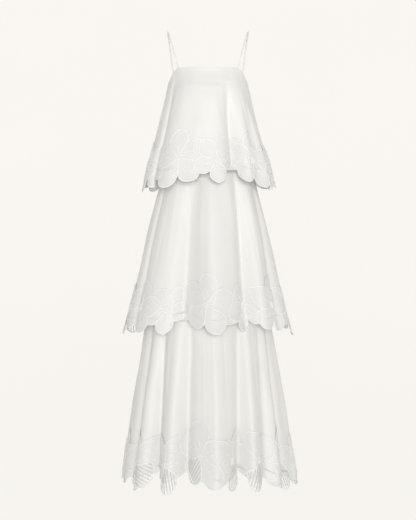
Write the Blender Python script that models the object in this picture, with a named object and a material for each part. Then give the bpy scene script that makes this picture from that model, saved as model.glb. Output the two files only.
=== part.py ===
"""Three-tier maxi dress on spaghetti straps, standing in its worn shape with no wearer.

Frame: metres, +Z up, front facing -Y, +X to the right in the front view. The origin is the point
midway between the tops of the two straps, where shoulders carry the dress.
Tables and named sizes are in millimetres, and are scaled once, when a mesh is made.
"""

import math

import bpy
import numpy as np
from mathutils import Vector
from mathutils.geometry import delaunay_2d_cdt

MM = 0.001

CLOTH = 1.2  # wall of every cloth panel
LACE = 1.0  # wall of the cutwork borders
SEAM_GAP = 0.3  # between pieces that are sewn together
LACE_LIFT = 0.9  # from a panel's outer face to the inner face of the border on it

NECK_FRONT_Z = -124.0
NECK_BACK_Z = -150.0
UNDERARM_Z = -168.0
WAIST_Z = -383.0
HIP_SEAM_Z = -845.0
TOP_HEM_Z = -458.0
MIDDLE_HEM_Z = -934.0
BOTTOM_HEM_Z = -1421.0
TOP_SIDE_DROP = 16.0
MIDDLE_SIDE_DROP = 7.0
BOTTOM_SIDE_DROP = 14.0

STRAP_WIDTH = 5.0
STRAP_THICK = 2.4

TOP_HEM_LIFT = 0.5  # a fold's valley lifts the hem by this share of its depth
MIDDLE_HEM_LIFT = 0.35
BOTTOM_HEM_LIFT = 0.65
FOLD_GROWTH = 0.75  # folds deepen with this power of the way from their start to the hem
VALLEY = 1.9  # how sharply a valley's two sides meet
SIDE = math.pi / 2  # the side seams' angle, from the middle of the front

# Each ring: height, half width at the side seams, depth of the front, depth of the back.
TOP_RINGS = (
    (-540, 216, 184, 166),
    (-458, 203, 168, 150),
    (-413, 192, 158, 140),
    (-367, 177, 148, 129),
    (-289, 157, 134, 111),
    (-222, 141, 122, 97),
    (-181, 132, 110, 90),
    (-150, 126, 98, 86),
    (-110, 118, 88, 82),
)
MIDDLE_RINGS = (
    (-1010, 279, 222, 210),
    (-934, 264, 208, 196),
    (-798, 230, 181, 170),
    (-640, 194, 150, 142),
    (-513, 161, 124, 117),
    (-383, 130, 98, 92),
)
BOTTOM_RINGS = (
    (-1510, 276, 229, 219),
    (-1426, 273, 224, 213),
    (-1310, 257, 208, 198),
    (-1193, 241, 192, 183),
    (-1082, 223, 176, 168),
    (-962, 205, 159, 152),
    (-845, 188, 143, 138),
)
BODICE_LINING_RINGS = (
    (-383, 130, 98, 92),
    (-330, 126, 96, 88),
    (-270, 126, 100, 85),
    (-222, 127, 102, 83),
    (-168, 125, 96, 82),
)
SKIRT_LINING_RINGS = (
    (-845, 188, 143, 138),
    (-700, 172, 128, 124),
    (-540, 147, 104, 98),
    (-440, 132, 96.5, 90.5),
    (-383, 128.2, 96.2, 90.2),
)

# Each fold: angle where it starts, how far its line leans by the hem and its width, in degrees,
# then its height in mm at the hem (valleys are negative), and the height where it starts.
TOP_FOLDS = (
    (-57, 0, 4, -16, -160),
    (-37, 0, 14, 14, -170),
    (28, -2, 9, -42, -170),
    (50, -12, 7, 13, -190),
    (62, 0, 8, 15, -220),
    (77, 0, 8, -15, -230),
    (103, 0, 9, 12, -230),
    (122, 0, 10, -30, -200),
    (143, 0, 11, 13, -220),
    (166, -4, 9, -34, -190),
    (-168, 0, 11, 13, -220),
    (-147, 4, 10, -32, -200),
    (-126, 0, 10, 13, -220),
    (-105, 0, 8, -22, -215),
)
MIDDLE_FOLDS = (
    (-83, 0, 6, -4, -420),
    (-63, 0, 4.5, -19, -392),
    (-46, 0, 13, 9, -395),
    (-17.5, 0, 10, -46, -385),
    (-17.5, 2, 4, 9, -395),
    (4, 0, 10.5, 21, -395),
    (37, -7, 9, -43, -385),
    (54, -12, 6, 12, -400),
    (69, -8, 6, -17, -395),
    (83, 0, 4, -5, -420),
    (98, 0, 6, -22, -400),
    (113, 0, 8, 13, -410),
    (129, 0, 7, -36, -390),
    (147, 0, 8, 15, -400),
    (164, 0, 7, -38, -387),
    (-178, 0, 7, 15, -400),
    (-160, 0, 7, -35, -390),
    (-143, 0, 8, 13, -410),
    (-125, 0, 7, -36, -390),
    (-107, 0, 7, 10, -410),
)
BOTTOM_FOLDS = (
    (-83, 0, 5, -4, -880),
    (-62.5, 0, 5.5, -25, -850),
    (-53, 0, 7, 13, -860),
    (-45, 5, 6, -43, -846),
    (-27, 0, 5.5, 11, -850),
    (-16, 0, 7, -45, -846),
    (6, 0, 7.5, 21, -850),
    (30, -7, 7.5, -44, -846),
    (37, -5, 5, 15, -860),
    (54, -10, 7, -20, -850),
    (60, -6, 5.5, 10, -860),
    (66, -4, 4.5, -18, -855),
    (82, 0, 5.5, 15, -870),
    (93, 0, 5, -26, -850),
    (106, 0, 6, 15, -860),
    (120, 0, 5, -38, -848),
    (134, 0, 6, 17, -855),
    (147, 0, 5, -40, -846),
    (160, 0, 6, 17, -855),
    (172, 0, 5, -37, -848),
    (-175, 0, 5, 15, -860),
    (-162, 0, 5, -39, -848),
    (-149, 0, 6, 17, -855),
    (-136, 0, 5, -34, -848),
    (-123, 0, 6, 15, -860),
    (-110, 0, 5, -36, -848),
    (-97, 0, 5, 8, -870),
)

# Each blossom: angle of its middle in degrees, its height over the hem, petal length, turn in
# degrees, number of petals, and 1 where its hanging petals are cut through.
TOP_BLOSSOMS = (
    (-86, 30, 92, 12, 5, 0),
    (-58, 24, 76, -32, 5, 0),
    (-28, 44, 106, -6, 5, 0),
    (8, 34, 84, 30, 5, 0),
    (45, 42, 98, 8, 5, 0),
    (79, 30, 88, -30, 5, 0),
    (110, 42, 98, 12, 5, 0),
    (143, 30, 84, -26, 5, 0),
    (176, 44, 100, 4, 5, 0),
    (-149, 30, 84, 30, 5, 0),
    (-117, 40, 96, -10, 5, 0),
)
MIDDLE_BLOSSOMS = (
    (-82, 42, 92, -20, 5, 1),
    (-56, 50, 92, 14, 5, 0),
    (-31, 38, 84, 38, 5, 0),
    (-1, 58, 108, 6, 5, 0),
    (28, 38, 86, -28, 5, 0),
    (54, 54, 102, 10, 5, 0),
    (80, 40, 92, 32, 5, 1),
    (107, 54, 100, -8, 5, 0),
    (135, 40, 90, 24, 5, 0),
    (163, 54, 102, -14, 5, 0),
    (-170, 40, 90, 36, 5, 0),
    (-142, 54, 100, 6, 5, 0),
    (-113, 40, 90, -28, 5, 1),
)
BOTTOM_BLOSSOMS = (
    (-85, 58, 98, 8, 5, 0),
    (-57, 50, 112, -14, 5, 1),
    (-29, 44, 100, 26, 5, 1),
    (-5, 68, 116, -6, 5, 1),
    (17, 44, 100, 34, 5, 1),
    (37, 56, 106, -18, 5, 1),
    (59, 54, 116, 14, 5, 1),
    (88, 60, 98, -30, 5, 0),
    (116, 60, 112, 10, 5, 1),
    (143, 44, 100, -24, 5, 1),
    (169, 62, 112, 18, 5, 1),
    (-165, 44, 100, -8, 5, 1),
    (-138, 58, 110, 28, 5, 1),
    (-111, 44, 100, -18, 5, 1),
)
PETAL_WIDTH_SHARE = 0.74  # of the petal's length
HEART = 20.0  # radius of the disc that joins the petals
PETAL_STATIONS = (0.12, 0.36, 0.6, 0.8, 0.93)  # shares of the length where an outline has points
POINTED_EVERY = 3  # each third petal ends in a point

BAND_TOP = 16.0  # the organza strip behind the blossoms, over the hem
BAND_BOTTOM = -7.0
PAST_SEAM = 60.0  # how far the flat strip runs past a side seam before it is cut off there

SLOT = 5.0  # the cut-through gaps of the hanging petals
SLOT_PITCH = 9.0
SLOT_TOP = -7.0  # gaps start this far below the hem, clear of the cloth
PETAL_RIM = 4.2  # whole edge round the gaps
SHORTEST_SLOT = 9.0

LACE_ROWS_TOP = (155.0, 0.0, -80.0)
LACE_ROWS_MIDDLE = (175.0, 0.0, -80.0)
LACE_ROWS_BOTTOM = (195.0, 0.0, -85.0)


def material(name, colour, roughness):
    """A Principled BSDF in one colour, or the one of that name that is already there."""
    found = bpy.data.materials.get(name)
    if found:
        return found
    made = bpy.data.materials.new(name)
    made.use_nodes = True
    shader = made.node_tree.nodes["Principled BSDF"]
    shader.inputs["Base Color"].default_value = (*colour, 1.0)
    shader.inputs["Roughness"].default_value = roughness
    shader.inputs["Metallic"].default_value = 0.0
    return made


def cloth_material():
    return material("ivory_crepe", (0.87, 0.86, 0.83), 0.55)


def lining_material():
    return material("ivory_lining", (0.84, 0.83, 0.80), 0.6)


def lace_material():
    return material("white_cutwork", (0.90, 0.90, 0.88), 0.65)


def smooth_at(x, table, column):
    """A cubic through one column of a ring table, at the heights x."""
    rows = np.array(sorted(tuple(row) for row in table), float)
    xs, ys = rows[:, 0], rows[:, column]
    slope = np.gradient(ys, xs)
    i = np.clip(np.searchsorted(xs, x) - 1, 0, len(xs) - 2)
    wide = xs[i + 1] - xs[i]
    s = (x - xs[i]) / wide
    return (
        (2 * s**3 - 3 * s**2 + 1) * ys[i]
        + (s**3 - 2 * s**2 + s) * wide * slope[i]
        + (3 * s**2 - 2 * s**3) * ys[i + 1]
        + (s**3 - s**2) * wide * slope[i + 1]
    )


class Layer:
    """One layer of cloth round the body: rings at each height, with folds that grow to the hem,
    which hangs lower at the sides by side_drop and rises in the valleys by the share hem_lift."""

    def __init__(self, rings, folds, hem_z, side_drop=0.0, hem_lift=0.0):
        self.rings = rings
        self.folds = folds
        self.hem_z = hem_z
        self.side_drop = side_drop
        self.hem_lift = hem_lift
        angles = np.linspace(-math.pi, math.pi, 4001)
        hem = self.points(angles, self.hem(angles))
        steps = np.linalg.norm(np.diff(hem, axis=0), axis=1)
        self.fine_angles = angles
        self.along = np.concatenate([[0.0], np.cumsum(steps)])

    def fold(self, t, z):
        """How far the folds push the cloth out (or in) at angle t and height z."""
        out = np.zeros(np.broadcast(t, z).shape)
        for degrees, lean, wide, high, start in self.folds:
            grown = np.clip((start - z) / (start - self.hem_z), 0.0, 1.15)
            line = np.radians(degrees + lean * grown)
            off = ((t - line + math.pi) % (2 * math.pi) - math.pi) / math.radians(wide)
            form = np.exp(1 - np.hypot(1, VALLEY * off)) if high < 0 else np.exp(-(off**2))
            out = out + high * grown**FOLD_GROWTH * form
        return out

    def hem(self, t):
        """The height of the hem at angle t."""
        lifted = self.hem_lift * self.fold(t, np.full(np.shape(t), self.hem_z))
        return self.hem_z - self.side_drop * np.sin(t) ** 2 - lifted

    def points(self, t, z):
        """The outer face at the angles t and heights z."""
        half = smooth_at(z, self.rings, 1)
        deep = np.where(np.cos(t) > 0, smooth_at(z, self.rings, 2), smooth_at(z, self.rings, 3))
        across, back = np.sin(t) / half, -np.cos(t) / deep
        size = np.hypot(across, back)
        out = self.fold(t, z)
        x = half * np.sin(t) + out * across / size
        y = -deep * np.cos(t) + out * back / size
        return np.stack([x, y, z + np.zeros_like(x)], axis=-1)

    def normals(self, t, z):
        """Unit normals of the outer face."""
        small_t, small_z = 1e-3, 0.5
        round_it = self.points(t + small_t, z) - self.points(t - small_t, z)
        up = self.points(t, z + small_z) - self.points(t, z - small_z)
        normal = np.cross(round_it, up)
        return normal / np.linalg.norm(normal, axis=-1, keepdims=True)

    def columns(self, first, last, count):
        """Angles of evenly spaced columns along the folded hem, from one side seam to the other."""
        turns = np.array([first, last])
        ends = np.interp(turns, self.fine_angles, self.along)
        if last > math.pi:
            ends[1] = self.along[-1] + np.interp(last - 2 * math.pi, self.fine_angles, self.along)
        at = np.linspace(ends[0] + SEAM_GAP / 2, ends[1] - SEAM_GAP / 2, count + 1)
        return self.angle_at(at), at

    def angle_at(self, at):
        """The angle at a distance along the hem, which may run on past the middle of the back."""
        lap = np.floor(at / self.along[-1])
        return np.interp(at - lap * self.along[-1], self.along, self.fine_angles) + lap * 2 * math.pi

    def distance_at(self, degrees):
        """The distance along the hem of an angle in degrees."""
        return float(np.interp(math.radians(degrees), self.fine_angles, self.along))


def neck_height(t):
    """The height of the top edge: level in front, low under the arms, and a little lower behind."""
    turn = np.abs((t + math.pi) % (2 * math.pi) - math.pi)
    to_side = np.clip((turn - math.radians(52)) / math.radians(34), 0, 1)
    to_back = np.clip((turn - math.radians(94)) / math.radians(36), 0, 1)
    fall = to_side * to_side * (3 - 2 * to_side)
    rise = to_back * to_back * (3 - 2 * to_back)
    return NECK_FRONT_Z + (UNDERARM_Z - NECK_FRONT_Z) * fall + (NECK_BACK_Z - UNDERARM_Z) * rise


def add_object(name, points, faces, look):
    """A mesh object from points in millimetres."""
    mesh = bpy.data.meshes.new(name)
    mesh.from_pydata([tuple(float(c) * MM for c in p) for p in points], [], faces)
    mesh.validate()
    mesh.materials.append(look)
    mesh.shade_smooth()
    mesh.set_sharp_from_angle(angle=math.radians(50))
    made = bpy.data.objects.new(name, mesh)
    bpy.context.scene.collection.objects.link(made)
    return made


def grid_wall(name, outer, inner, look):
    """A closed wall between two grids of points, rows from top to bottom and columns turning from
    -X over the front to +X, and on over the back. Each quad is cut along the diagonal that lies
    deeper, so that what is laid on the wall between its rows and columns clears it."""
    rows, count = outer.shape[:2]
    points = np.concatenate([outer.reshape(-1, 3), inner.reshape(-1, 3)])
    deep = rows * count

    def at(row, column):
        return row * count + column

    out = outer - inner
    rising = outer[:-1, :-1] + outer[1:, 1:] - outer[1:, :-1] - outer[:-1, 1:]
    deeper = (rising * (out[:-1, :-1] + out[1:, 1:])).sum(axis=-1) < 0
    faces = []
    for r in range(rows - 1):
        for c in range(count - 1):
            corner = (at(r, c), at(r + 1, c), at(r + 1, c + 1), at(r, c + 1))
            if not deeper[r, c]:
                corner = corner[1:] + corner[:1]
            faces.append((corner[0], corner[1], corner[2]))
            faces.append((corner[0], corner[2], corner[3]))
            faces.append((deep + corner[2], deep + corner[1], deep + corner[0]))
            faces.append((deep + corner[3], deep + corner[2], deep + corner[0]))
    rim = [at(0, c) for c in range(count)]
    rim += [at(r, count - 1) for r in range(1, rows)]
    rim += [at(rows - 1, c) for c in range(count - 2, -1, -1)]
    rim += [at(r, 0) for r in range(rows - 2, 0, -1)]
    for a, b in zip(rim, rim[1:] + rim[:1]):
        faces.append((a, b, deep + b, deep + a))
    return add_object(name, points, faces, look)


def row_heights(t, fixed, lace_rows, layer):
    """Heights of a panel's rows at the angles t: fixed ones, then those measured from the hem."""
    hem = layer.hem(t)
    rows = [f(t) if callable(f) else np.full(t.shape, float(f)) for f in fixed]
    rows += [hem + q for q in lace_rows if q >= 0]
    return np.array(rows)


def panel(name, layer, t, heights, look, depth=0.0, thick=CLOTH):
    """A wall of cloth on the layer's own points, its outer face moved in by depth."""
    angles = np.broadcast_to(t, heights.shape)
    face, out = layer.points(angles, heights), layer.normals(angles, heights)
    return grid_wall(name, face - depth * out, face - (depth + thick) * out, look)


def petal_half_width(share, pointed):
    """Half a petal's width at a share of its length, as a share of its full width."""
    if pointed:
        return 0.5 * math.sin(math.pi * share**1.15) ** 0.9
    return 0.5 * math.sin(math.pi * share**1.5) ** 0.62


def petal_outline(reach, pointed):
    """One petal along +Y from the blossom's middle."""
    wide = reach * PETAL_WIDTH_SHARE
    side = [(wide * petal_half_width(s, pointed), reach * s) for s in PETAL_STATIONS]
    return side + [(0.0, reach)] + [(-x, y) for x, y in reversed(side)]


def petal_slots(reach, pointed, top):
    """The long gaps of one hanging petal, side by side along it, from the distance top outwards."""
    wide = reach * PETAL_WIDTH_SHARE
    across = np.arange(-3, 4) * SLOT_PITCH
    slots = []
    for x in across:
        needed = abs(x) + SLOT / 2 + PETAL_RIM
        shares = np.linspace(0.5, 0.97, 60)
        inside = [s for s in shares if wide * petal_half_width(s, pointed) >= needed]
        if not inside:
            continue
        low, high = max(top, inside[0] * reach), min(inside[-1] * reach, reach - PETAL_RIM)
        if high - low > SHORTEST_SLOT:
            half = SLOT / 2
            slots.append([(x - half, low), (x + half, low), (x + half, high), (x - half, high)])
    return slots


def turned(shape, degrees, x, y):
    """A 2-D outline turned clockwise and moved."""
    a = math.radians(degrees)
    c, s = math.cos(a), math.sin(a)
    return [(x + px * c + py * s, y - px * s + py * c) for px, py in shape]


def blossom_shapes(layer, blossoms):
    """Petal outlines and gaps in the flat border: distance along the hem, and height over it."""
    petals, slots = [], []
    lap = layer.along[-1]
    for degrees, rise, reach, turn, count, is_open in blossoms:
        middle = layer.distance_at(degrees)
        corners = [math.radians(60 * k) for k in range(6)]
        heart = [(middle + HEART * math.sin(a), rise + HEART * math.cos(a)) for a in corners]
        for shift in (-lap, 0.0, lap):
            petals.append([(x + shift, y) for x, y in heart])
        for k in range(count):
            way = turn + k * 360.0 / count
            pointed = k % POINTED_EVERY == 1
            size = reach * (1.0 if pointed else 0.93)
            down = -math.cos(math.radians(way))
            gaps = petal_slots(size, pointed, (rise - SLOT_TOP) / down) if is_open and down > 0.6 else []
            for shift in (-lap, 0.0, lap):
                petals.append(turned(petal_outline(size, pointed), way, middle + shift, rise))
                slots += [turned(slot, way, middle + shift, rise) for slot in gaps]
    return petals, slots


def inside(shape, points):
    """Which of the points lie in the closed outline."""
    ring = np.array(shape)
    x, y = points[:, 0][:, None], points[:, 1][:, None]
    x0, y0 = ring[:, 0][None], ring[:, 1][None]
    x1, y1 = np.roll(ring[:, 0], -1)[None], np.roll(ring[:, 1], -1)[None]
    crosses = (y0 > y) != (y1 > y)
    with np.errstate(divide="ignore", invalid="ignore"):
        at = x0 + (y - y0) * (x1 - x0) / (y1 - y0)
    return (np.where(crosses, x < at, False).sum(axis=1) % 2) == 1


def covered(points, shapes):
    found = np.zeros(len(points), bool)
    for shape in shapes:
        found |= inside(shape, points)
    return found


def triangulated(points, edges, merge):
    """Constrained Delaunay triangles of the plane: (points, triangles)."""
    flat = [Vector(p) for p in points]
    found, _, faces, *_ = delaunay_2d_cdt(flat, edges, [], 0, merge)
    return np.array([tuple(v) for v in found], float), [tuple(f) for f in faces if len(f) == 3]


def closed_edges(start, shape):
    count = len(shape)
    return [(start + i, start + (i + 1) % count) for i in range(count)]


def rim_edges(triangles):
    """The edges with a triangle on one side only, in their triangle's direction."""
    seen = {}
    for tri in triangles:
        for a, b in zip(tri, tri[1:] + tri[:1]):
            seen[(a, b)] = True
    return [(a, b) for a, b in seen if (b, a) not in seen]


def within(shape, low, high, touching):
    """Whether an outline touches the stretch from low to high, or lies wholly in it."""
    first, last = min(p[0] for p in shape), max(p[0] for p in shape)
    return (last > low and first < high) if touching else (first > low and last < high)


def union_rim(shapes, low, high):
    """Corner points and edges of the outline round all the shapes, cut off at the two side seams."""
    points, edges = [], []
    for shape in shapes:
        edges += closed_edges(len(points), shape)
        points += shape
    flat, faces = triangulated(points, edges, 0.2)
    middles = flat[np.array(faces)].mean(axis=1)
    keep = covered(middles, shapes)
    rim = rim_edges([f for f, k in zip(faces, keep) if k])
    rim = [(a, b) for a, b in rim if within((flat[a], flat[b]), low, high, touching=True)]
    used = sorted({i for edge in rim for i in edge})
    place = {i: n for n, i in enumerate(used)}
    return [tuple(flat[i]) for i in used], [(place[a], place[b]) for a, b in rim]


def lace_domain(layer, blossoms, stops, rows):
    """The flat border between two side seams, cut into triangles that follow the panel's columns
    and rows: (points, triangles)."""
    low, high = stops[0], stops[-1]
    petals, slots = blossom_shapes(layer, blossoms)
    near = [s for s in petals if within(s, low, high, touching=True)]
    cuts = [s for s in slots if within(s, low + PETAL_RIM, high - PETAL_RIM, touching=False)]
    left, right = low - PAST_SEAM, high + PAST_SEAM
    band = [(left, BAND_BOTTOM), (right, BAND_BOTTOM), (right, BAND_TOP), (left, BAND_TOP)]
    points, edges = union_rim(near + [band], low, high)
    for slot in cuts:
        edges += closed_edges(len(points), slot)
        points += slot
    for x in stops:
        start = len(points)
        points += [(x, q) for q in rows]
        edges += [(start + i, start + i + 1) for i in range(len(rows) - 1)]
    flat, faces = triangulated(points, edges, 0.2)
    middles = flat[np.array(faces)].mean(axis=1)
    keep = covered(middles, near + [band]) & ~covered(middles, cuts)
    keep &= (middles[:, 0] > low) & (middles[:, 0] < high)
    return flat, [f for f, k in zip(faces, keep) if k]


def lace_points(flat, layer, stops, turns, rows, lift):
    """The border's points, on the straight cloth between the panel's own columns and rows."""
    heights = layer.hem(turns)[None, :] + np.array(rows)[:, None]
    angles = np.broadcast_to(turns, heights.shape)
    grid = layer.points(angles, heights) + lift * layer.normals(angles, heights)
    column = np.clip(np.searchsorted(stops, flat[:, 0], side="right") - 1, 0, len(stops) - 2)
    across = np.clip((flat[:, 0] - stops[column]) / (stops[column + 1] - stops[column]), 0, 1)
    falling = np.array(rows)
    row = np.clip(np.searchsorted(-falling, -flat[:, 1], side="right") - 1, 0, len(rows) - 2)
    down = np.clip((falling[row] - flat[:, 1]) / (falling[row] - falling[row + 1]), 0, 1)
    across, down = across[:, None], down[:, None]
    upper = grid[row, column] * (1 - across) + grid[row, column + 1] * across
    lower = grid[row + 1, column] * (1 - across) + grid[row + 1, column + 1] * across
    return upper * (1 - down) + lower * down


def lace_border(name, layer, blossoms, stops, turns, rows):
    """A border of cutwork blossoms over the panel's hem, with petals that hang below it."""
    flat, faces = lace_domain(layer, blossoms, stops, rows)
    used = sorted({i for f in faces for i in f})
    place = {i: n for n, i in enumerate(used)}
    faces = [tuple(place[i] for i in f) for f in faces]
    flat = flat[used]
    inner = lace_points(flat, layer, stops, turns, rows, LACE_LIFT)
    outer = lace_points(flat, layer, stops, turns, rows, LACE_LIFT + LACE)
    deep = len(flat)
    solid = list(faces)
    solid += [(deep + c, deep + b, deep + a) for a, b, c in faces]
    solid += [(b, a, deep + a, deep + b) for a, b in rim_edges(faces)]
    return add_object(name, np.concatenate([outer, inner]), solid, lace_material())


def strap_route(side):
    """The middle line of one strap, from the front of the neckline over the shoulder to the back."""
    front, back = np.radians(52.0), np.radians(128.0)
    ends = top_tier.points(np.array([front, back]), neck_height(np.array([front, back])))
    first, last = ends[0] + (0, 1.4, 1.35), ends[1] + (0, -1.4, 1.35)
    knots = np.array(
        [
            first,
            (103.5, -70, -96),
            (114, -52, -56),
            (124, -32, -20),
            (130, -8, -1.5),
            (130.5, 12, -3),
            (127, 40, -30),
            (121, 60, -76),
            (115, 68, -118),
            last,
        ]
    )
    knots[:, 0] *= side
    return knots


def strap(name, side):
    """A narrow rouleau strap: a flattened round section swept along a smooth line."""
    knots = strap_route(side)
    at = np.arange(len(knots))
    fine = np.linspace(0, len(knots) - 1, 28)
    line = np.stack([smooth_at(fine, np.column_stack([at, knots[:, k]]), 1) for k in range(3)], axis=-1)
    ways = np.gradient(line, axis=0)
    ways /= np.linalg.norm(ways, axis=1, keepdims=True)
    outward = np.tile((float(side), 0.0, 0.0), (len(line), 1))
    wide = np.cross(ways, np.cross(outward, ways))
    wide /= np.linalg.norm(wide, axis=1, keepdims=True)
    flat_way = np.cross(ways, wide)
    turns = np.arange(6) * math.pi / 3
    ring = np.cos(turns)[:, None, None] * wide * STRAP_WIDTH / 2
    ring = ring + np.sin(turns)[:, None, None] * flat_way * STRAP_THICK / 2
    tube = (line[None] + ring).transpose(1, 0, 2)
    count, sides = tube.shape[:2]
    faces = []
    for i in range(count - 1):
        for j in range(sides):
            k = (j + 1) % sides
            faces.append((i * sides + j, i * sides + k, (i + 1) * sides + k, (i + 1) * sides + j))
    faces.append(tuple(range(sides - 1, -1, -1)))
    faces.append(tuple((count - 1) * sides + j for j in range(sides)))
    return add_object(name, tube.reshape(-1, 3), faces, cloth_material())


def clear_scene():
    for old in list(bpy.data.objects):
        bpy.data.objects.remove(old)


top_tier = Layer(TOP_RINGS, TOP_FOLDS, TOP_HEM_Z, TOP_SIDE_DROP, TOP_HEM_LIFT)
middle_tier = Layer(MIDDLE_RINGS, MIDDLE_FOLDS, MIDDLE_HEM_Z, MIDDLE_SIDE_DROP, MIDDLE_HEM_LIFT)
bottom_tier = Layer(BOTTOM_RINGS, BOTTOM_FOLDS, BOTTOM_HEM_Z, BOTTOM_SIDE_DROP, BOTTOM_HEM_LIFT)
bodice_lining = Layer(BODICE_LINING_RINGS, (), WAIST_Z)
skirt_lining = Layer(SKIRT_LINING_RINGS, (), HIP_SEAM_Z)

# Heights of each tier's upper rows: the seam that holds it, then two plain ones.
TOP_LEVELS = (neck_height, -205.0, -250.0)
MIDDLE_LEVELS = (WAIST_Z - SEAM_GAP, -470.0, -600.0)
BOTTOM_LEVELS = (HIP_SEAM_Z - SEAM_GAP, -930.0, -1080.0)

# Each tier: its layer, blossoms, columns in half a ring, upper rows and rows from the hem.
TIERS = {
    "top_tier": (top_tier, TOP_BLOSSOMS, 32, TOP_LEVELS, LACE_ROWS_TOP),
    "middle_tier": (middle_tier, MIDDLE_BLOSSOMS, 40, MIDDLE_LEVELS, LACE_ROWS_MIDDLE),
    "bottom_tier": (bottom_tier, BOTTOM_BLOSSOMS, 50, BOTTOM_LEVELS, LACE_ROWS_BOTTOM),
}
HALVES = {"front": (-SIDE, SIDE), "back": (SIDE, 3 * SIDE)}


def build_tiers():
    for tier, (layer, blossoms, count, fixed, lace_rows) in TIERS.items():
        for half, (first, last) in HALVES.items():
            turns, stops = layer.columns(first, last, count)
            heights = row_heights(turns, fixed, lace_rows, layer)
            panel(f"{tier}_{half}", layer, turns, heights, cloth_material())
            lace_border(f"{tier}_lace_{half}", layer, blossoms, stops, turns, lace_rows)


def build_linings():
    """The plain under-bodice that carries the middle tier, and the plain skirt that carries the
    bottom tier. Their columns are every second one of the tier that they meet."""
    for half, (first, last) in HALVES.items():
        turns, _ = top_tier.columns(first, last, TIERS["top_tier"][2])
        turns = turns[::2]
        neck = neck_height(turns)
        tucked = CLOTH + SEAM_GAP
        face = [top_tier.points(turns, neck) - tucked * top_tier.normals(turns, neck)]
        back = [face[0] - CLOTH * top_tier.normals(turns, neck)]
        for z in (-215.0, -270.0, -330.0, WAIST_Z):
            row = np.full(turns.shape, z)
            face.append(bodice_lining.points(turns, row))
            back.append(face[-1] - CLOTH * bodice_lining.normals(turns, row))
        grid_wall(f"under_bodice_{half}", np.array(face), np.array(back), lining_material())

        turns, _ = middle_tier.columns(first, last, TIERS["middle_tier"][2])
        turns = turns[::2]
        levels = (WAIST_Z - SEAM_GAP, -440.0, -540.0, -700.0, HIP_SEAM_Z)
        heights = np.array([np.full(turns.shape, z) for z in levels])
        panel(f"under_skirt_{half}", skirt_lining, turns, heights, lining_material())


def main():
    clear_scene()
    build_tiers()
    build_linings()
    strap("strap_left", -1)
    strap("strap_right", 1)


main()
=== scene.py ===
"""Looks of a three-tier maxi dress: soft crepe panels, organza and cord cutwork borders, straps.

Sizes in the tables are in millimetres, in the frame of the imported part, and are turned into metres
when a mesh is made.
"""

import math

import bpy
import numpy as np
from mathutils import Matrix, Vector
from mathutils.geometry import delaunay_2d_cdt


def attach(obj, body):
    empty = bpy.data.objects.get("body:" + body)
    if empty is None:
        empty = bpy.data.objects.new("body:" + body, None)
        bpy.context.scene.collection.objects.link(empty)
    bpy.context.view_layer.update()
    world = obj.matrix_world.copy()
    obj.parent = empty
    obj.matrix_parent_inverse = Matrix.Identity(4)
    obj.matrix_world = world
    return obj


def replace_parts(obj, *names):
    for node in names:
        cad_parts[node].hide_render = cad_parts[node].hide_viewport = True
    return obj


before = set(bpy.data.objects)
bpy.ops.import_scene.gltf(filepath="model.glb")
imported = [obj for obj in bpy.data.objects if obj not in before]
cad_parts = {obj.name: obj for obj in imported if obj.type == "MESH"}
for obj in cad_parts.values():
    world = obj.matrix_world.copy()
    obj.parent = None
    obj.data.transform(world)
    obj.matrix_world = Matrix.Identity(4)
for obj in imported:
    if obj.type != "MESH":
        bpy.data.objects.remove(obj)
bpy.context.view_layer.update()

MM = 0.001
SIDE = math.pi / 2

CREPE = 0.9  # wall of a crepe panel
LINING = 0.7
ORGANZA = 0.45
EDGE_GAP = 0.05  # half the open width of a side seam
SEAM_GAP = 0.3  # between the waist seam and the lining below it
LINING_TUCK = 1.5  # from the crepe's face at the top edge in to the lining

NECK_FRONT_Z = -124.0
NECK_BACK_Z = -150.0
UNDERARM_Z = -168.0
WAIST_Z = -383.0
HIP_SEAM_Z = -845.0
FOLD_GROWTH = 0.75  # folds grow with this power of their way down
GROWTH_LIMIT = 1.15  # they stop growing a little below the hem
VALLEY = 1.9  # how sharp a valley is

# Each ring: height, half width at the side seams, depth of the front, depth of the back.
TOP_RINGS = (
    (-540, 216, 184, 166),
    (-458, 203, 168, 150),
    (-413, 192, 158, 140),
    (-367, 177, 148, 129),
    (-289, 157, 134, 111),
    (-222, 141, 122, 97),
    (-181, 132, 110, 90),
    (-150, 126, 98, 86),
    (-110, 118, 88, 82),
)
MIDDLE_RINGS = (
    (-1010, 279, 222, 210),
    (-934, 264, 208, 196),
    (-798, 230, 181, 170),
    (-640, 194, 150, 142),
    (-513, 161, 124, 117),
    (-383, 130, 98, 92),
)
BOTTOM_RINGS = (
    (-1510, 276, 229, 219),
    (-1426, 273, 224, 213),
    (-1310, 257, 208, 198),
    (-1193, 241, 192, 183),
    (-1082, 223, 176, 168),
    (-962, 205, 159, 152),
    (-845, 188, 143, 138),
)
BODICE_LINING_RINGS = (
    (-383, 130, 98, 92),
    (-330, 126, 96, 88),
    (-270, 126, 100, 85),
    (-222, 127, 102, 83),
    (-168, 125, 96, 82),
)
SKIRT_LINING_RINGS = (
    (-845, 188, 143, 138),
    (-700, 172, 128, 124),
    (-540, 147, 104, 98),
    (-440, 132, 96.5, 90.5),
    (-383, 128.2, 96.2, 90.2),
)

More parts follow.
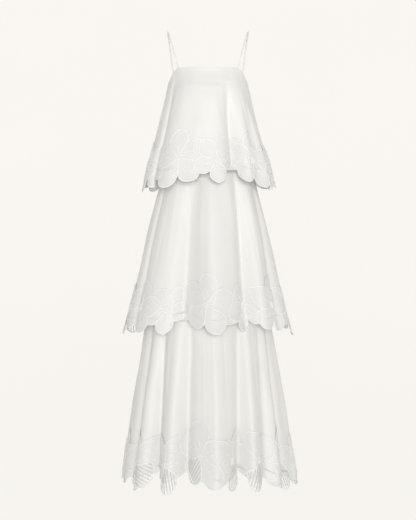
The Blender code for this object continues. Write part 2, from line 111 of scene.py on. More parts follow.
# Each fold: angle where it starts, how far its line leans by the hem and its width, in degrees,
# then its height in mm at the hem (valleys are negative), and the height where it starts.
TOP_FOLDS = (
    (-57, 0, 4, -16, -160),
    (-37, 0, 14, 14, -170),
    (28, -2, 9, -42, -170),
    (50, -12, 7, 13, -190),
    (62, 0, 8, 15, -220),
    (77, 0, 8, -15, -230),
    (103, 0, 9, 12, -230),
    (122, 0, 10, -30, -200),
    (143, 0, 11, 13, -220),
    (166, -4, 9, -34, -190),
    (-168, 0, 11, 13, -220),
    (-147, 4, 10, -32, -200),
    (-126, 0, 10, 13, -220),
    (-105, 0, 8, -22, -215),
)
MIDDLE_FOLDS = (
    (-83, 0, 6, -4, -420),
    (-63, 0, 4.5, -19, -392),
    (-46, 0, 13, 9, -395),
    (-17.5, 0, 10, -46, -385),
    (-17.5, 2, 4, 9, -395),
    (4, 0, 10.5, 21, -395),
    (37, -7, 9, -43, -385),
    (54, -12, 6, 12, -400),
    (69, -8, 6, -17, -395),
    (83, 0, 4, -5, -420),
    (98, 0, 6, -22, -400),
    (113, 0, 8, 13, -410),
    (129, 0, 7, -36, -390),
    (147, 0, 8, 15, -400),
    (164, 0, 7, -38, -387),
    (-178, 0, 7, 15, -400),
    (-160, 0, 7, -35, -390),
    (-143, 0, 8, 13, -410),
    (-125, 0, 7, -36, -390),
    (-107, 0, 7, 10, -410),
)
BOTTOM_FOLDS = (
    (-83, 0, 5, -4, -880),
    (-62.5, 0, 5.5, -25, -850),
    (-53, 0, 7, 13, -860),
    (-45, 5, 6, -43, -846),
    (-27, 0, 5.5, 11, -850),
    (-16, 0, 7, -45, -846),
    (6, 0, 7.5, 21, -850),
    (30, -7, 7.5, -44, -846),
    (37, -5, 5, 15, -860),
    (54, -10, 7, -20, -850),
    (60, -6, 5.5, 10, -860),
    (66, -4, 4.5, -18, -855),
    (82, 0, 5.5, 15, -870),
    (93, 0, 5, -26, -850),
    (106, 0, 6, 15, -860),
    (120, 0, 5, -38, -848),
    (134, 0, 6, 17, -855),
    (147, 0, 5, -40, -846),
    (160, 0, 6, 17, -855),
    (172, 0, 5, -37, -848),
    (-175, 0, 5, 15, -860),
    (-162, 0, 5, -39, -848),
    (-149, 0, 6, 17, -855),
    (-136, 0, 5, -34, -848),
    (-123, 0, 6, 15, -860),
    (-110, 0, 5, -36, -848),
    (-97, 0, 5, 8, -870),
)

# Soft creases laid over the folds. Each: angle and height of its first end, angle and height of its
# second end, half width, height (troughs are negative), and how far its middle sags downwards.
TOP_CREASES = (
    (-34, -166, 30, -170, 6, -1.0, 8),
    (-28, -178, 38, -184, 8, 1.0, 9),
    (-60, -150, -34, -196, 8, -1.1, 4),
    (58, -150, 40, -214, 8, -1.0, 5),
    (-44, -182, -50, -300, 7, 1.3, 0),
    (14, -196, 20, -330, 8, -1.5, 0),
    (46, -190, 50, -400, 5, -1.7, 0),
    (57, -200, 62, -420, 6, 1.5, 0),
    (68, -210, 72, -410, 5, -1.4, 0),
    (-76, -200, -82, -420, 7, 1.5, 0),
    (-84, -190, -70, -240, 6, -1.1, 3),
    (-12, -290, -16, -430, 8, 1.1, 0),
    (120, -190, 172, -196, 8, -1.6, 8),
    (-172, -186, -124, -192, 8, -1.7, 9),
    (134, -200, 130, -360, 7, 2.0, 0),
    (152, -210, 156, -420, 7, -2.2, 0),
    (178, -200, 176, -400, 8, 2.0, 0),
    (-158, -206, -160, -380, 7, -2.0, 0),
    (-134, -198, -138, -420, 7, 2.1, 0),
    (-112, -190, -118, -330, 6, -1.9, 0),
    (98, -196, 110, -300, 6, -1.7, 2),
)
MIDDLE_CREASES = (
    (-58, -470, -60, -900, 8, 1.2, 0),
    (-44, -540, -47, -860, 6, -1.2, 0),
    (-38, -470, -36, -780, 7, 1.0, 0),
    (-4, -520, -3, -880, 6, -1.1, 0),
    (3, -470, 4, -760, 7, 0.9, 0),
    (45, -500, 46, -820, 5, -1.2, 0),
    (54, -520, 56, -900, 6, 1.2, 0),
    (60, -620, 61, -900, 4, -1.1, 0),
    (73, -500, 76, -860, 6, 1.1, 0),
    (-74, -480, -77, -820, 6, -1.1, 0),
    (90, -520, 91, -860, 6, 2.2, 0),
    (106, -480, 105, -780, 7, -2.2, 0),
    (120, -560, 121, -900, 7, 2.3, 0),
    (137, -480, 138, -820, 6, -2.4, 0),
    (155, -520, 156, -900, 7, -2.2, 0),
    (172, -480, 171, -760, 7, 2.2, 0),
    (-170, -560, -169, -900, 6, -2.3, 0),
    (-152, -500, -151, -840, 7, 2.2, 0),
    (-134, -540, -135, -900, 7, -2.3, 0),
    (-116, -480, -116, -740, 6, 2.2, 0),
    (-98, -540, -99, -880, 6, -2.2, 0),
)
BOTTOM_CREASES = (
    (-60, -920, -61, -1400, 7, -1.1, 0),
    (-76, -900, -78, -1340, 6, 1.1, 0),
    (-33, -930, -33, -1240, 6, -1.1, 0),
    (-4, -940, -3, -1400, 6, 1.2, 0),
    (2, -1000, 3, -1400, 5, -1.2, 0),
    (13, -900, 14, -1280, 5, -1.1, 0),
    (41, -940, 42, -1390, 4, -1.2, 0),
    (53, -900, 53, -1240, 5, 1.0, 0),
    (64, -980, 65, -1400, 5, -1.1, 0),
    (77, -920, 77, -1340, 5, 1.0, 0),
    (88, -940, 88, -1380, 5, 1.0, 0),
    (100, -900, 100, -1260, 6, -2.2, 0),
    (113, -960, 113, -1400, 5, 2.2, 0),
    (127, -900, 127, -1300, 5, -2.2, 0),
    (141, -980, 141, -1400, 5, 2.2, 0),
    (153, -920, 153, -1340, 5, -2.2, 0),
    (166, -900, 166, -1280, 5, -2.2, 0),
    (179, -960, 178, -1400, 5, 2.2, 0),
    (-169, -920, -169, -1320, 5, -2.2, 0),
    (-155, -980, -156, -1400, 5, 2.2, 0),
    (-142, -900, -142, -1260, 6, -2.2, 0),
    (-129, -960, -130, -1400, 5, 2.2, 0),
    (-116, -900, -116, -1320, 5, -2.2, 0),
    (-103, -980, -104, -1400, 5, 2.0, 0),
)

# Each blossom: angle of its middle in degrees, its height over the hem, petal length, turn in
# degrees, and 1 where its hanging petals are cut through.
TOP_BLOSSOMS = (
    (-86, 30, 92, 12, 0),
    (-58, 24, 76, -32, 0),
    (-28, 44, 106, -6, 0),
    (8, 34, 84, 30, 0),
    (45, 42, 98, 8, 0),
    (79, 30, 88, -30, 0),
    (110, 42, 98, 12, 0),
    (143, 30, 84, -26, 0),
    (176, 44, 100, 4, 0),
    (-149, 30, 84, 30, 0),
    (-117, 40, 96, -10, 0),
)
MIDDLE_BLOSSOMS = (
    (-82, 42, 92, -20, 1),
    (-56, 50, 92, 14, 0),
    (-31, 38, 84, 38, 0),
    (-1, 58, 108, 6, 0),
    (28, 38, 86, -28, 0),
    (54, 54, 102, 10, 0),
    (80, 40, 92, 32, 1),
    (107, 54, 100, -8, 0),
    (135, 40, 90, 24, 0),
    (163, 54, 102, -14, 0),
    (-170, 40, 90, 36, 0),
    (-142, 54, 100, 6, 0),
    (-113, 40, 90, -28, 1),
)
BOTTOM_BLOSSOMS = (
    (-85, 58, 98, 8, 0),
    (-57, 50, 112, -14, 1),
    (-29, 44, 100, 26, 1),
    (-5, 68, 116, -6, 1),
    (17, 44, 100, 34, 1),
    (37, 56, 106, -18, 1),
    (59, 54, 116, 14, 1),
    (88, 60, 98, -30, 0),
    (116, 60, 112, 10, 1),
    (143, 44, 100, -24, 1),
    (169, 62, 112, 18, 1),
    (-165, 44, 100, -8, 1),
    (-138, 58, 110, 28, 1),
    (-111, 44, 100, -18, 1),
)
PETALS = 5  # of a blossom
PETAL_WIDTH_SHARE = 0.74  # of the petal's length
POINTED_EVERY = 3
BAND_TOP = 16.0  # the plain band of organza, over the hem
BAND_BOTTOM = -7.0  # and below it
SLOT = 5.0  # width of the gaps cut through hanging petals
SLOT_PITCH = 9.0
SLOT_TOP = -7.0  # gaps start this far below the hem, clear of the cloth
PETAL_RIM = 4.2  # whole edge round the gaps
SHORTEST_SLOT = 9.0
SHEET_LOW, SHEET_HIGH = -90.0, 190.0  # the flat border that a sheet is cut from, over the hem
SHEET_PITCH = (6.5, 7.0)

LACE_LIFT = 0.7  # from the crepe to the organza on it
CORD_FOOT = LACE_LIFT + ORGANZA - 0.15  # cords sit a little into the organza
# Width and height of each sort of cord.
OUTLINE_CORD = (3.4, 1.5)
FILL_CORD = (1.3, 0.45)
BAR_CORD = (3.0, 1.3)
VEIN_CORD = (1.6, 1.3)
HEM_CORD = (3.0, 1.4)
FILL_PITCH = 7.0
FILL_STYLES = ("along", "across", "slanting")
OUTLINE_KIND, FILL_KIND, BAR_KIND = 0, 1, 2
HEART = 11.0  # radius of the embroidered heart
# The knots of a heart: radius of each ring, how many knots and their size.
HEART_RINGS = ((9.0, 11, 2.3), (4.6, 6, 2.1), (0.0, 1, 2.4))

# Soft lines along a panel's edge. Each: distance from the edge, half width, height.
SEAM_LINES = ((0.0, 2.2, -0.9), (5.5, 2.5, 0.35))
NECK_LINES = ((0.0, 4.0, 0.45), (13.0, 1.6, -0.5), (8.0, 3.5, 0.35))
NECK_TURNING = ((0.0, 4.0, 0.5),)
HEM_LINES = ((0.0, 5.0, 0.3),)

STRAP_ENDS = (52.0, 128.0)  # front and back, in degrees
STRAP_HALF_WIDTH = 2.4
STRAP_HALF_THICKNESS = 1.2
STRAP_STATIONS = 120
STRAP_SIDES = 16

# In metres.
FLOOR_Z = -1.62
FLOOR_DIM_Y, FLOOR_LIT_Y = -2.6, 0.1  # where the floor in front is dim, and lit
SWEEP_BACK_Y, SWEEP_RADIUS, SWEEP_TOP_Z, SWEEP_HALF_WIDTH = 4.5, 1.5, 7.0, 9.0
CAMERA_DISTANCE = 4.6
VIEW_HEIGHT = 1.690  # what the picture's height covers at the dress
VIEW_MIDDLE_Z = -0.741
SENSOR = 24.0  # in millimetres


# Shapes


def smooth_at(x, table, column):
    """A cubic through one column of a table, at the values x of its first column."""
    rows = np.array(sorted(tuple(row) for row in table), float)
    xs, ys = rows[:, 0], rows[:, column]
    slope = np.gradient(ys, xs)
    i = np.clip(np.searchsorted(xs, x) - 1, 0, len(xs) - 2)
    wide = xs[i + 1] - xs[i]
    s = (x - xs[i]) / wide
    return (
        (2 * s**3 - 3 * s**2 + 1) * ys[i]
        + (s**3 - 2 * s**2 + s) * wide * slope[i]
        + (3 * s**2 - 2 * s**3) * ys[i + 1]
        + (s**3 - s**2) * wide * slope[i + 1]
    )


def short_turn(t):
    """An angle in radians, brought to -pi to pi."""
    return (t + math.pi) % (2 * math.pi) - math.pi


class Layer:
    """One layer of cloth round the body, with folds that grow to the hem and creases over them."""

    def __init__(self, rings, folds=(), hem_z=0.0, side_drop=0.0, hem_lift=0.0, creases=()):
        self.rings = rings
        self.folds = folds
        self.hem_z = hem_z
        self.side_drop = side_drop
        self.hem_lift = hem_lift
        self.creases = ()  # none in the hem's length, which places the border
        angles = np.linspace(-math.pi, math.pi, 4001)
        hem = self.points(angles, self.hem(angles))
        steps = np.linalg.norm(np.diff(hem, axis=0), axis=1)
        self.fine_angles = angles
        self.along = np.concatenate([[0.0], np.cumsum(steps)])
        self.creases = creases

    def fold(self, t, z):
        """How far the folds stand off the rings."""
        out = np.zeros(np.broadcast(t, z).shape)
        for degrees, lean, wide, high, start in self.folds:
            grown = np.clip((start - z) / (start - self.hem_z), 0.0, GROWTH_LIMIT)
            line = np.radians(degrees + lean * grown)
            off = short_turn(t - line) / math.radians(wide)
            form = np.exp(1 - np.hypot(1, VALLEY * off)) if high < 0 else np.exp(-(off**2))
            out = out + high * grown**FOLD_GROWTH * form
        return out

    def crease(self, t, z):
        out = np.zeros(np.broadcast(t, z).shape)
        for first, first_z, last, last_z, wide, high, sag in self.creases:
            middle_z = 0.5 * (first_z + last_z)
            half, deep = (smooth_at(middle_z, self.rings, column) for column in (1, 2))
            radius = 0.5 * (half + deep)
            span_x = short_turn(math.radians(last - first)) * radius
            span_z = last_z - first_z
            length = math.hypot(span_x, span_z)
            x, y = short_turn(t - math.radians(first)) * radius, z - first_z
            share = (x * span_x + y * span_z) / length**2
            off = (x * span_z - y * span_x) / length
            off = off - sag * 4 * share * (1 - share) * (1 if span_x > 0 else -1)
            taper = np.sin(math.pi * np.clip(share, 0, 1)) ** 0.8
            out = out + high * taper * np.exp(-((off / wide) ** 2))
        return out

    def unevenness(self, t, z):
        """Slow, small waves that keep the cloth from looking ruled."""
        return (
            0.5 * np.sin(5 * t + z / 61)
            + 0.4 * np.sin(9 * t - z / 43 + 1.3)
            + 0.3 * np.sin(17 * t + z / 29 + 0.6)
        )

    def hem(self, t):
        lifted = self.hem_lift * self.fold(t, np.full(np.shape(t), self.hem_z))
        return self.hem_z - self.side_drop * np.sin(t) ** 2 - lifted

    def points(self, t, z):
        half = smooth_at(z, self.rings, 1)
        deep = np.where(np.cos(t) > 0, smooth_at(z, self.rings, 2), smooth_at(z, self.rings, 3))
        across, back = np.sin(t) / half, -np.cos(t) / deep
        size = np.hypot(across, back)
        out = self.fold(t, z)
        if self.creases:
            out = out + self.crease(t, z) + self.unevenness(t, z)
        x = half * np.sin(t) + out * across / size
        y = -deep * np.cos(t) + out * back / size
        return np.stack([x, y, z + np.zeros_like(x)], axis=-1)

    def normals(self, t, z):
        small_t, small_z = 1e-3, 0.5
        round_it = self.points(t + small_t, z) - self.points(t - small_t, z)
        up = self.points(t, z + small_z) - self.points(t, z - small_z)
        normal = np.cross(round_it, up)
        return normal / np.linalg.norm(normal, axis=-1, keepdims=True)

    def span(self, first, last):
        """Distances along the hem of two angles, the second one further round."""
        ends = np.interp(np.array([first, last]), self.fine_angles, self.along)
        if last > math.pi:
            ends[1] = self.along[-1] + np.interp(last - 2 * math.pi, self.fine_angles, self.along)
        return ends

    def angle_at(self, at):
        lap = np.floor(at / self.along[-1])
        angle = np.interp(at - lap * self.along[-1], self.along, self.fine_angles)
        return angle + lap * 2 * math.pi

    def distance_at(self, degrees):
        return float(np.interp(math.radians(degrees), self.fine_angles, self.along))

    def laid(self, flat):
        """Points given as distance along the hem, height over it and lift off the cloth."""
        t = self.angle_at(flat[:, 0])
        z = self.hem(t) + flat[:, 1]
        return self.points(t, z) + flat[:, 2:3] * self.normals(t, z)


def neck_height(t):
    """Height of the top edge: over the front, down under the arms, and lower at the back."""
    turn = np.abs(short_turn(t))
    to_side = np.clip((turn - math.radians(52)) / math.radians(34), 0, 1)
    to_back = np.clip((turn - math.radians(94)) / math.radians(36), 0, 1)
    fall = to_side * to_side * (3 - 2 * to_side)
    rise = to_back * to_back * (3 - 2 * to_back)
    return NECK_FRONT_Z + (UNDERARM_Z - NECK_FRONT_Z) * fall + (NECK_BACK_Z - UNDERARM_Z) * rise


def add_object(name, points, faces, look, more_looks=(), kinds=None):
    """A smooth mesh object from points in millimetres, riding on the one body. kinds picks each
    face's look: 0 the first one, and so on."""
    mesh = bpy.data.meshes.new(name)
    mesh.from_pydata((np.asarray(points, float) * MM).tolist(), [], faces)
    for each in (look, *more_looks):
        mesh.materials.append(each)
    if kinds is not None:
        mesh.polygons.foreach_set("material_index", kinds)
    mesh.validate()
    mesh.shade_smooth()
    mesh.set_sharp_from_angle(angle=math.radians(55))
    made = bpy.data.objects.new(name, mesh)
    bpy.context.scene.collection.objects.link(made)
    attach(made, "root")
    return made


def grid_shell(name, outer, inner, look):
    """A closed shell between two grids of points, rows from top to bottom."""
    rows, count = outer.shape[:2]
    points = np.concatenate([outer.reshape(-1, 3), inner.reshape(-1, 3)])
    deep = rows * count
    corner = (np.arange(rows - 1)[:, None] * count + np.arange(count - 1)[None, :]).ravel()
    quads = np.stack([corner, corner + count, corner + count + 1, corner + 1], axis=1)
    faces = quads.tolist() + (quads[:, ::-1] + deep).tolist()
    rim = list(range(count))
    rim += [r * count + count - 1 for r in range(1, rows)]
    rim += [(rows - 1) * count + c for c in range(count - 2, -1, -1)]
    rim += [r * count for r in range(rows - 2, 0, -1)]
    faces += [(a, b, deep + b, deep + a) for a, b in zip(rim, rim[1:] + rim[:1])]
    return add_object(name, points, faces, look)


def tube_faces(stations, sides):
    """The faces of a closed tube, whose points are rings one after the other."""
    start = (np.arange(stations - 1) * sides)[:, None]
    ring, after = start + np.arange(sides), start + (np.arange(sides) + 1) % sides
    faces = np.stack([ring, after, after + sides, ring + sides], axis=-1).reshape(-1, 4).tolist()
    last = (stations - 1) * sides
    return faces + [list(range(sides))[::-1], list(range(last, last + sides))]


# Materials


def shader_nodes(name):
    made = bpy.data.materials.new(name)
    made.use_nodes = True
    tree = made.node_tree
    return made, tree, tree.nodes["Principled BSDF"]


def noise(tree, where, scale, detail):
    node = tree.nodes.new("ShaderNodeTexNoise")
    node.inputs["Scale"].default_value = scale
    node.inputs["Detail"].default_value = detail
    tree.links.new(where, node.inputs["Vector"])
    return node.outputs["Fac"]


def weave(tree, where, pitch, direction):
    """Threads across one direction, their pitch in metres."""
    node = tree.nodes.new("ShaderNodeTexWave")
    node.wave_type = "BANDS"
    node.bands_direction = direction
    node.inputs["Scale"].default_value = 0.314 / pitch
    node.inputs["Distortion"].default_value = 0.6
    node.inputs["Detail"].default_value = 1.0
    node.inputs["Detail Scale"].default_value = 2.0
    tree.links.new(where, node.inputs["Vector"])
    return node.outputs["Fac"]


def ramp(tree, value, low, high, first, last):
    """A value mapped from low..high to first..last."""
    node = tree.nodes.new("ShaderNodeMapRange")
    node.inputs["From Min"].default_value = low
    node.inputs["From Max"].default_value = high
    node.inputs["To Min"].default_value = first
    node.inputs["To Max"].default_value = last
    tree.links.new(value, node.inputs["Value"])
    return node.outputs["Result"]


def mottle(tree, where, scale, detail, first=0.0, last=1.0):
    """Noise, spread over first..last."""
    return ramp(tree, noise(tree, where, scale, detail), 0.3, 0.7, first, last)


def blend_colours(tree, share, first, last):
    node = tree.nodes.new("ShaderNodeMix")
    node.data_type = "RGBA"
    # A mix node has its colour sockets after those for numbers and vectors.
    node.inputs[6].default_value = (*first, 1)
    node.inputs[7].default_value = (*last, 1)
    tree.links.new(share, node.inputs[0])
    return node.outputs[2]


def bump(tree, height, strength, distance, under=None):
    node = tree.nodes.new("ShaderNodeBump")
    node.inputs["Strength"].default_value = strength
    node.inputs["Distance"].default_value = distance
    tree.links.new(height, node.inputs["Height"])
    if under is not None:
        tree.links.new(under, node.inputs["Normal"])
    return node.outputs["Normal"]


def product(tree, a, b):
    node = tree.nodes.new("ShaderNodeMath")
    node.operation = "MULTIPLY"
    tree.links.new(a, node.inputs[0])
    tree.links.new(b, node.inputs[1])
    return node.outputs[0]


def net(tree, where, pitch):
    """Threads both across and along."""
    return product(tree, weave(tree, where, pitch, "X"), weave(tree, where, pitch, "Z"))


def place_of(tree):
    return tree.nodes.new("ShaderNodeTexCoord").outputs["Object"]


def crepe_look():
    """Satin-backed crepe: ivory, a fine pebble, soft slubs and a low sheen."""
    made, tree, shader = shader_nodes("ivory_crepe_looks")
    where = place_of(tree)
    tint = mottle(tree, where, 7.0, 3.0)
    colour = blend_colours(tree, tint, (0.785, 0.781, 0.762), (0.805, 0.803, 0.787))
    tree.links.new(colour, shader.inputs["Base Color"])
    gloss = mottle(tree, where, 34.0, 3.0, 0.44, 0.52)
    tree.links.new(gloss, shader.inputs["Roughness"])
    shader.inputs["Sheen Weight"].default_value = 0.12
    shader.inputs["Sheen Roughness"].default_value = 0.45
    shader.inputs["Specular IOR Level"].default_value = 0.35
    slub = bump(tree, noise(tree, where, 120.0, 2.0), 0.25, 0.0006)
    pebble = bump(tree, noise(tree, where, 1500.0, 2.0), 0.35, 0.00018, slub)
    threads = net(tree, where, 0.00045)
    tree.links.new(bump(tree, threads, 0.2, 0.00008, pebble), shader.inputs["Normal"])
    return made


def organza_look():
    """Sheer organza: cool white, a fine open thread grid that lets the layer behind through."""
    made, tree, shader = shader_nodes("white_organza")
    where = place_of(tree)
    tint = mottle(tree, where, 26.0, 3.0)
    colour = blend_colours(tree, tint, (0.81, 0.812, 0.798), (0.842, 0.845, 0.832))
    tree.links.new(colour, shader.inputs["Base Color"])
    shader.inputs["Roughness"].default_value = 0.42
    shader.inputs["Sheen Weight"].default_value = 0.2
    shader.inputs["Specular IOR Level"].default_value = 0.4
    threads = net(tree, where, 0.0006)
    tree.links.new(ramp(tree, threads, 0.0, 1.0, 1.0, 0.7), shader.inputs["Alpha"])
    soft = bump(tree, noise(tree, where, 160.0, 2.0), 0.3, 0.0005)
    tree.links.new(bump(tree, threads, 0.4, 0.00012, soft), shader.inputs["Normal"])
    return made


def cord_look(name, dark, bright):
    """Satin embroidery cord with the fine slant of wound thread."""
    made, tree, shader = shader_nodes(name)
    where = place_of(tree)
    tint = mottle(tree, where, 80.0, 2.0)
    colour = blend_colours(tree, tint, dark, bright)
    tree.links.new(colour, shader.inputs["Base Color"])
    gloss = mottle(tree, where, 300.0, 2.0, 0.34, 0.46)
    tree.links.new(gloss, shader.inputs["Roughness"])
    shader.inputs["Sheen Weight"].default_value = 0.1
    wound = weave(tree, where, 0.0005, "DIAGONAL")
    tree.links.new(bump(tree, wound, 0.45, 0.00015), shader.inputs["Normal"])
    return made


def lining_look():
    """Plain matt lining in a flat weave."""
    made, tree, shader = shader_nodes("ivory_lining_looks")
    where = place_of(tree)
    tint = mottle(tree, where, 9.0, 2.0)
    colour = blend_colours(tree, tint, (0.76, 0.748, 0.722), (0.785, 0.775, 0.75))
    tree.links.new(colour, shader.inputs["Base Color"])
    gloss = mottle(tree, where, 40.0, 2.0, 0.55, 0.64)
    tree.links.new(gloss, shader.inputs["Roughness"])
    threads = net(tree, where, 0.0005)
    slub = bump(tree, noise(tree, where, 90.0, 2.0), 0.3, 0.0006)
    tree.links.new(bump(tree, threads, 0.3, 0.0001, slub), shader.inputs["Normal"])
    return made


def backdrop_look():
    """A plain pale studio sweep, lit through so that it stays even."""
    made, tree, shader = shader_nodes("pale_sweep")
    where = place_of(tree)
    tint = noise(tree, where, 3.0, 1.0)
    colour = blend_colours(tree, tint, (0.034, 0.033, 0.032), (0.04, 0.039, 0.038))
    tree.links.new(colour, shader.inputs["Base Color"])
    shader.inputs["Roughness"].default_value = 0.9
    shader.inputs["Specular IOR Level"].default_value = 0.0
    shader.inputs["Emission Color"].default_value = (0.947, 0.922, 0.88, 1.0)
    axes = tree.nodes.new("ShaderNodeSeparateXYZ")
    tree.links.new(where, axes.inputs[0])
    lit = ramp(tree, axes.outputs[1], FLOOR_DIM_Y, FLOOR_LIT_Y, 0.42, 0.955)
    tree.links.new(lit, shader.inputs["Emission Strength"])
    grain = bump(tree, noise(tree, where, 200.0, 2.0), 0.05, 0.0003)
    tree.links.new(grain, shader.inputs["Normal"])
    return made


crepe = crepe_look()
organza = organza_look()
cord = cord_look("white_satin_cord", (0.85, 0.85, 0.834), (0.89, 0.89, 0.875))
thread = cord_look("soft_fill_thread", (0.80, 0.802, 0.788), (0.838, 0.84, 0.826))
# The bar cords are white cord coloured a darker grey: painted shade that stands for the shadow the
# hanging bars sit in.
bars = cord_look("bar_cord_painted_shade", (0.60, 0.607, 0.60), (0.65, 0.657, 0.65))
lining = lining_look()
backdrop = backdrop_look()


# Layers

top_tier = Layer(TOP_RINGS, TOP_FOLDS, -458.0, 16.0, 0.5, TOP_CREASES)
middle_tier = Layer(MIDDLE_RINGS, MIDDLE_FOLDS, -934.0, 7.0, 0.35, MIDDLE_CREASES)
bottom_tier = Layer(BOTTOM_RINGS, BOTTOM_FOLDS, -1421.0, 14.0, 0.65, BOTTOM_CREASES)
bodice_lining = Layer(BODICE_LINING_RINGS, hem_z=WAIST_Z)
skirt_lining = Layer(SKIRT_LINING_RINGS, hem_z=HIP_SEAM_Z)

HALVES = {"front": (-SIDE, SIDE), "back": (SIDE, 3 * SIDE)}



def level_edge(height):
    return lambda t: np.full(t.shape, height)


# Each tier: its layer, top edge, blossoms, columns and rows of a half, and what it hangs from.
TIERS = {
    "top_tier": (top_tier, neck_height, TOP_BLOSSOMS, 170, 80, "under_bodice"),
    "middle_tier": (middle_tier, level_edge(WAIST_Z), MIDDLE_BLOSSOMS, 210, 74, "under_bodice"),
    "bottom_tier": (bottom_tier, level_edge(HIP_SEAM_Z), BOTTOM_BLOSSOMS, 230, 78, "under_skirt"),
}


def edge_lines(distance, lines):
    """Soft lines beside an edge: raised, or sunk where the height is negative."""
    return sum(high * np.exp(-(((distance - at) / wide) ** 2)) for at, wide, high in lines)


def tier_panel(name, layer, top, first, last, count, rows, with_neck):
    """A crepe panel: an even grid along the hem, closer rows at its two edges, pressed seams and
    a turned, stitched top edge where it shows."""
    ends = layer.span(first, last)
    at = np.linspace(ends[0] + EDGE_GAP, ends[1] - EDGE_GAP, count + 1)
    t = layer.angle_at(at)
    share = np.linspace(0, 1, rows + 1)
    share = share - 0.11 * np.sin(2 * math.pi * share)
    high, low = top(t)[None, :], layer.hem(t)[None, :]
    z = high + (low - high) * share[:, None]
    t = np.broadcast_to(t, z.shape)
    face, out = layer.points(t, z), layer.normals(t, z)
    from_seam = np.minimum(at - ends[0], ends[1] - at)[None, :]
    raised = edge_lines(from_seam, SEAM_LINES)
    thick = np.full(z.shape, CREPE)
    if with_neck:
        raised = raised + edge_lines(high - z, NECK_LINES)
        thick = thick + edge_lines(high - z, NECK_TURNING)
    raised = raised + edge_lines(z - low, HEM_LINES)
    outer = face + raised[..., None] * out
    return grid_shell(name, outer, outer - thick[..., None] * out, crepe)


# Flat shapes of the borders


def petal_half_width(share, pointed):
    """Half width at a share of the petal's length, where its full width is 1."""
    if pointed:
        return 0.5 * np.sin(math.pi * share**1.15) ** 0.9
    return 0.5 * np.sin(math.pi * share**1.5) ** 0.62


def petal_outline(reach, pointed, inset=0.0, stations=15):
    """One petal along +Y from the blossom's middle, drawn in by inset."""
    wide = reach * PETAL_WIDTH_SHARE
    share = np.concatenate([[0.06, 0.12], np.linspace(0.2, 0.97, stations)])
    side_x = np.maximum(wide * petal_half_width(share, pointed) - inset, 0.2)
    side_y = share * (reach - inset)
    right = np.stack([side_x, side_y], axis=1)
    tip = np.array([[0.0, reach - inset]])
    return np.concatenate([right, tip, (right * (-1, 1))[::-1]])


def turned(shape, degrees, x, y):
    a = math.radians(degrees)
    c, s = math.cos(a), math.sin(a)
    across, up = shape[:, 0], shape[:, 1]
    return np.stack([x + across * c + up * s, y - across * s + up * c], axis=1)


def petal_slots(reach, pointed, top):
    """The long gaps of one hanging petal, from the distance top outwards."""
    wide = reach * PETAL_WIDTH_SHARE
    slots = []
    for x in np.arange(-3, 4) * SLOT_PITCH:
        needed = abs(x) + SLOT / 2 + PETAL_RIM
        shares = np.linspace(0.5, 0.97, 60)
        fits = shares[wide * petal_half_width(shares, pointed) >= needed]
        if not len(fits):
            continue
        low, high = max(top, fits[0] * reach), min(fits[-1] * reach, reach - PETAL_RIM)
        if high - low > SHORTEST_SLOT:
            left, right = x - SLOT / 2, x + SLOT / 2
            slots.append(np.array([(left, low), (right, low), (right, high), (left, high)]))
    return slots


def inside(shape, points):
    """Which points lie inside a closed flat shape."""
    x, y = points[:, 0][:, None], points[:, 1][:, None]
    x0, y0 = shape[:, 0][None], shape[:, 1][None]
    x1, y1 = np.roll(shape[:, 0], -1)[None], np.roll(shape[:, 1], -1)[None]
    crosses = (y0 > y) != (y1 > y)
    with np.errstate(divide="ignore", invalid="ignore"):
        at = x0 + (y - y0) * (x1 - x0) / (y1 - y0)
    return (np.where(crosses, x < at, False).sum(axis=1) % 2) == 1


def covered(points, shapes):
    """Which points lie inside any of the shapes."""
    found = np.zeros(len(points), bool)
    for shape in shapes:
        near = (points[:, 0] > shape[:, 0].min()) & (points[:, 0] < shape[:, 0].max())
        near &= (points[:, 1] > shape[:, 1].min()) & (points[:, 1] < shape[:, 1].max())
        if near.any():
            found[near] |= inside(shape, points[near])
    return found


def border_petals(layer, blossoms):
    """Every petal of a border, one lap and its two neighbours: a dict each, rising in rank."""
    lap = layer.along[-1]
    found = []
    order = [*range(0, len(blossoms), 2), *range(1, len(blossoms), 2)]
    for rank, i in enumerate(order):
        degrees, rise, reach, turn, is_open = blossoms[i]
        middle = layer.distance_at(degrees)
        for k in range(PETALS):
            way = turn + k * 360.0 / PETALS
            pointed = k % POINTED_EVERY == 1
            size = reach * (1.0 if pointed else 0.93)
            down = -math.cos(math.radians(way))
            opened = bool(is_open) and down > 0.6
            gaps = petal_slots(size, pointed, (rise - SLOT_TOP) / down) if opened else []
            for shift in (-lap, 0.0, lap):
                x = middle + shift
                found.append(
                    {
                        "rank": rank * 10 + k,
                        "blossom": i,
                        "index": k,
                        "middle": (x, rise),
                        "size": size,
                        "pointed": pointed,
                        "way": way,
                        "outline": turned(petal_outline(size, pointed), way, x, rise),
                        "slots": [turned(s, way, x, rise) for s in gaps],
                    }
                )
    return found


def resampled(line, pitch):
    """A polyline with points an even pitch apart."""
    steps = np.linalg.norm(np.diff(line, axis=0), axis=1)
    at = np.concatenate([[0.0], np.cumsum(steps)])
    count = max(2, int(round(at[-1] / pitch)) + 1)
    even = np.linspace(0, at[-1], count)
    return np.stack([np.interp(even, at, line[:, 0]), np.interp(even, at, line[:, 1])], axis=1)


def runs(line, keep, shortest=3):
    """The stretches of a polyline whose points are kept."""
    found, start = [], None
    for i, good in enumerate(list(keep) + [False]):
        if good and start is None:
            start = i
        if not good and start is not None:
            if i - start >= shortest:
                found.append(line[start:i])
            start = None
    return found


